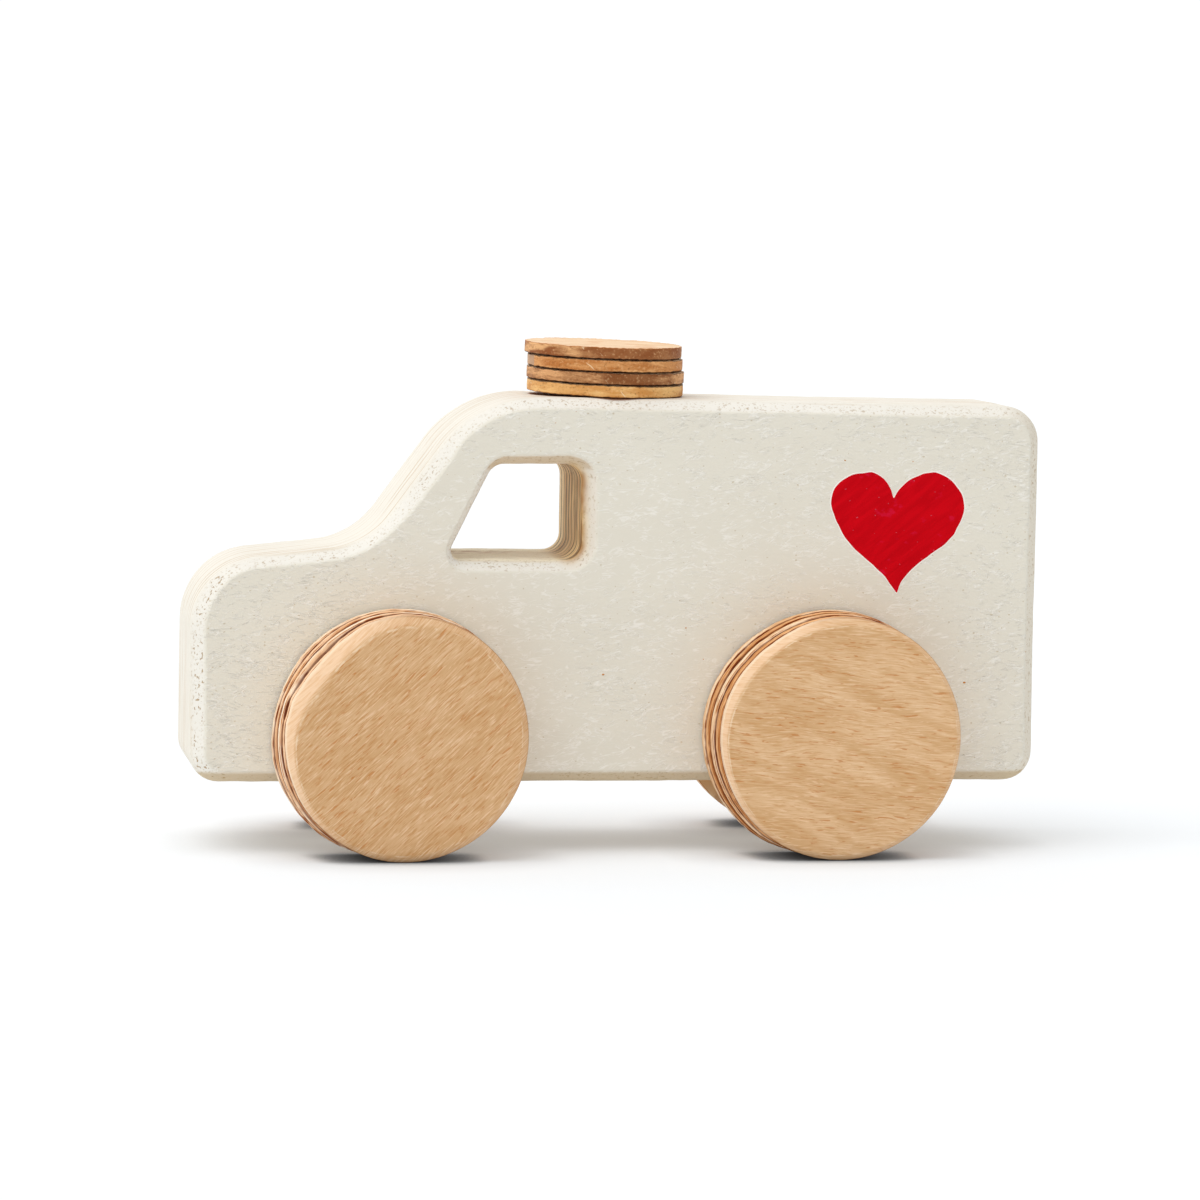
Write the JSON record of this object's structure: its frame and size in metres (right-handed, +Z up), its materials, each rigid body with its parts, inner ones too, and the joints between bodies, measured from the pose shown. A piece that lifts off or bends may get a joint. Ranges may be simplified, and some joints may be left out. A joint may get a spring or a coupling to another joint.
{
  "type": "toy ambulance",
  "caption": "Wooden push-along toy ambulance: painted plywood body with a window cut through it, laminated plywood wheels on turning dowel axles, and a stacked disc beacon on the roof.",
  "frame": {"origin": "on the ground under the middle of the toy", "axes": "+Z up, the nose towards -X, the toy's left side towards -Y"},
  "size_m": [0.1746, 0.0676, 0.104],
  "materials": {
    "body_paint": "off-white brushed paint on plywood, satin",
    "red_paint": "red brushed paint of the mark on each side",
    "wheel_face": "bare sanded face veneer, fine grain flecks",
    "ply_pale": "bare sawn ply edge, pale",
    "ply_tan": "bare sawn ply edge, tan",
    "beacon_wood": "bare sawn wood discs",
    "axle_dowel": "bare round dowel"
  },
  "bodies": {
    "body": {"body_left_board": "body_paint", "body_right_board": "body_paint", "beacon_disc_1": "beacon_wood", "beacon_disc_2": "beacon_wood", "beacon_disc_3": "beacon_wood", "beacon_disc_4": "beacon_wood"},
    "front_wheelset": {"front_axle": "axle_dowel", "front_left_wheel_ply_1": "ply_pale", "front_left_wheel_ply_2": "ply_tan", "front_left_wheel_ply_3": "ply_pale", "front_left_wheel_ply_4": "ply_tan", "front_left_wheel_ply_5": "wheel_face", "front_right_wheel_ply_1": "ply_pale", "front_right_wheel_ply_2": "ply_tan", "front_right_wheel_ply_3": "ply_pale", "front_right_wheel_ply_4": "ply_tan", "front_right_wheel_ply_5": "wheel_face"},
    "rear_wheelset": {"rear_axle": "axle_dowel", "rear_left_wheel_ply_1": "ply_pale", "rear_left_wheel_ply_2": "ply_tan", "rear_left_wheel_ply_3": "ply_pale", "rear_left_wheel_ply_4": "ply_tan", "rear_left_wheel_ply_5": "wheel_face", "rear_right_wheel_ply_1": "ply_pale", "rear_right_wheel_ply_2": "ply_tan", "rear_right_wheel_ply_3": "ply_pale", "rear_right_wheel_ply_4": "ply_tan", "rear_right_wheel_ply_5": "wheel_face"}
  },
  "joints": [
    {"name": "front_wheels_spin", "type": "hinge", "parent": "body", "child": "front_wheelset", "pos_m": [-0.04525, 0, 0.025], "axis": [0, 1, 0], "continuous": true},
    {"name": "rear_wheels_spin", "type": "hinge", "parent": "body", "child": "rear_wheelset", "pos_m": [0.04355, 0, 0.025], "axis": [0, 1, 0], "continuous": true}
  ]
}
